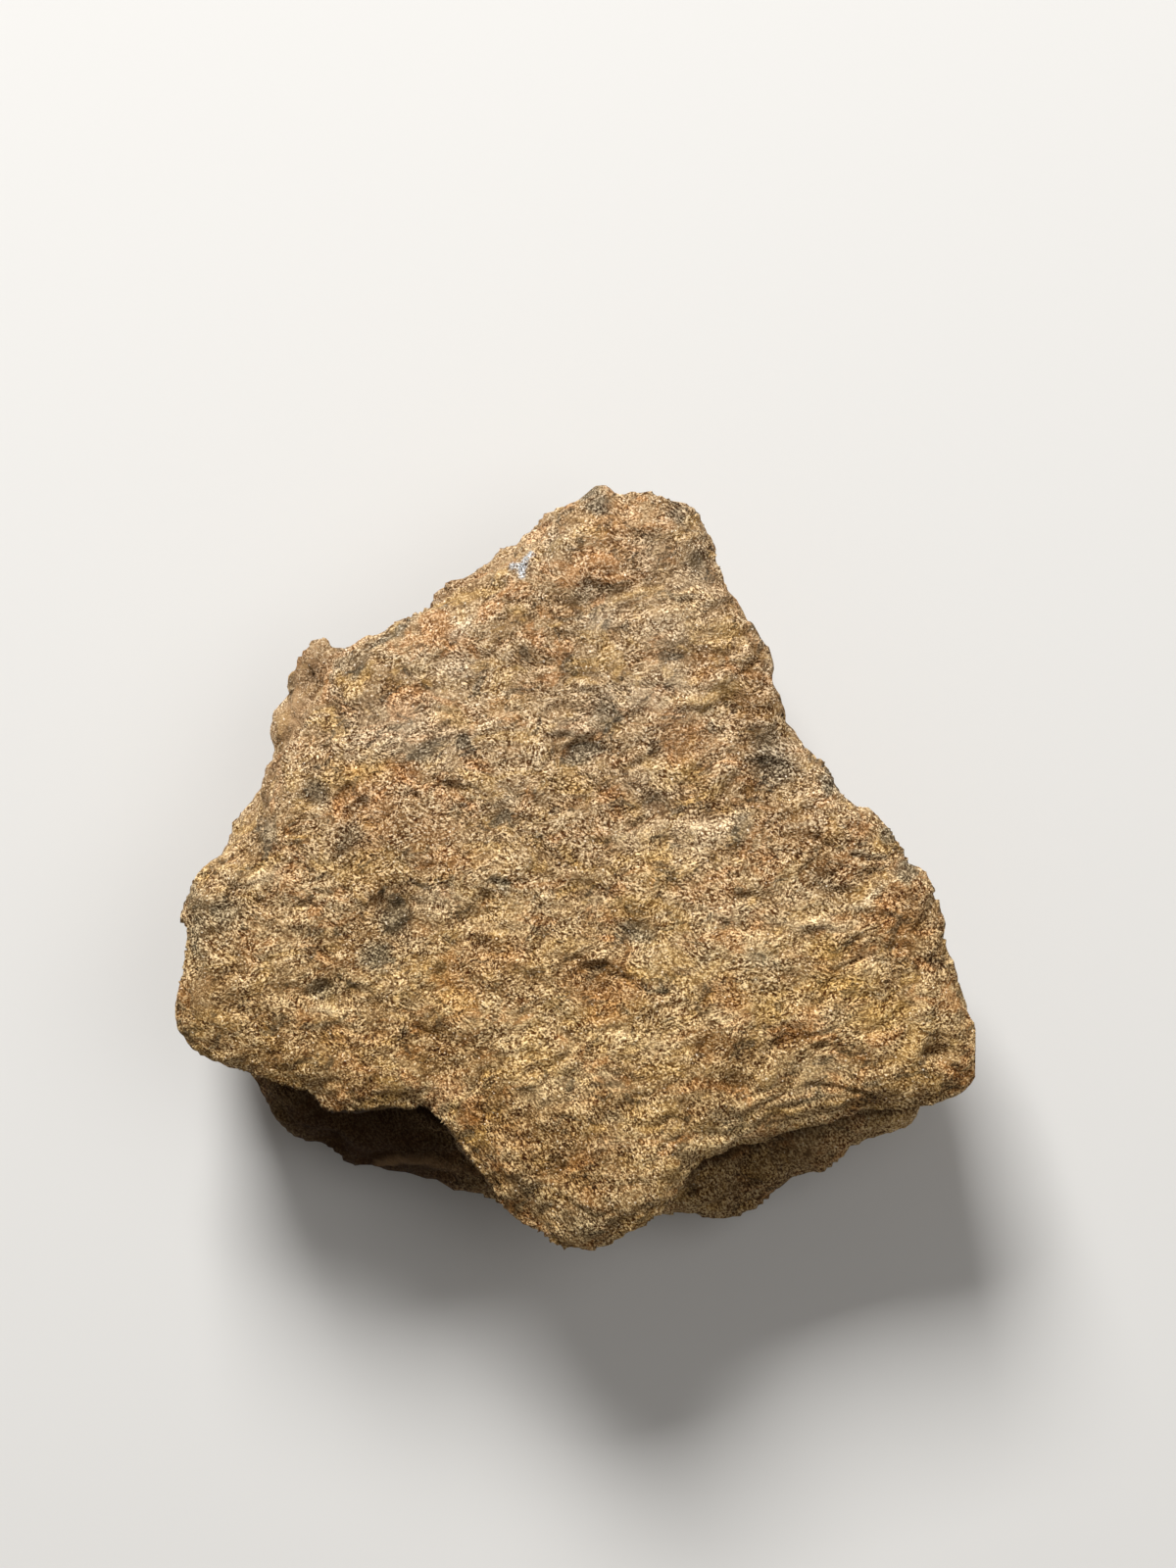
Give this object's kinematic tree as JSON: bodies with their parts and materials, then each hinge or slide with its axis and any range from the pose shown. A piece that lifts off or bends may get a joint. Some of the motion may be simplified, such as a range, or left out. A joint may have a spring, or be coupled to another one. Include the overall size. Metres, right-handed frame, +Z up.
{
  "type": "iron meteorite",
  "caption": "Flat, torn piece of iron meteorite with a pitted face, deep hollows under its lower edge and a small flat spot to rest on.",
  "frame": {"origin": "centre of the bounding box in plan, at the height of the flat spot that the piece rests on", "axes": "+Z up out of the broad face, +Y towards that face's peak, +X to the right as it is looked down on, along its longest side"},
  "size_m": [0.0316, 0.0302, 0.0102],
  "materials": {
    "weathered_iron": "brown, grainy weathered crust with rusty and grey patches, not polished"
  },
  "bodies": {
    "root": {"meteorite": "weathered_iron"}
  },
  "joints": []
}
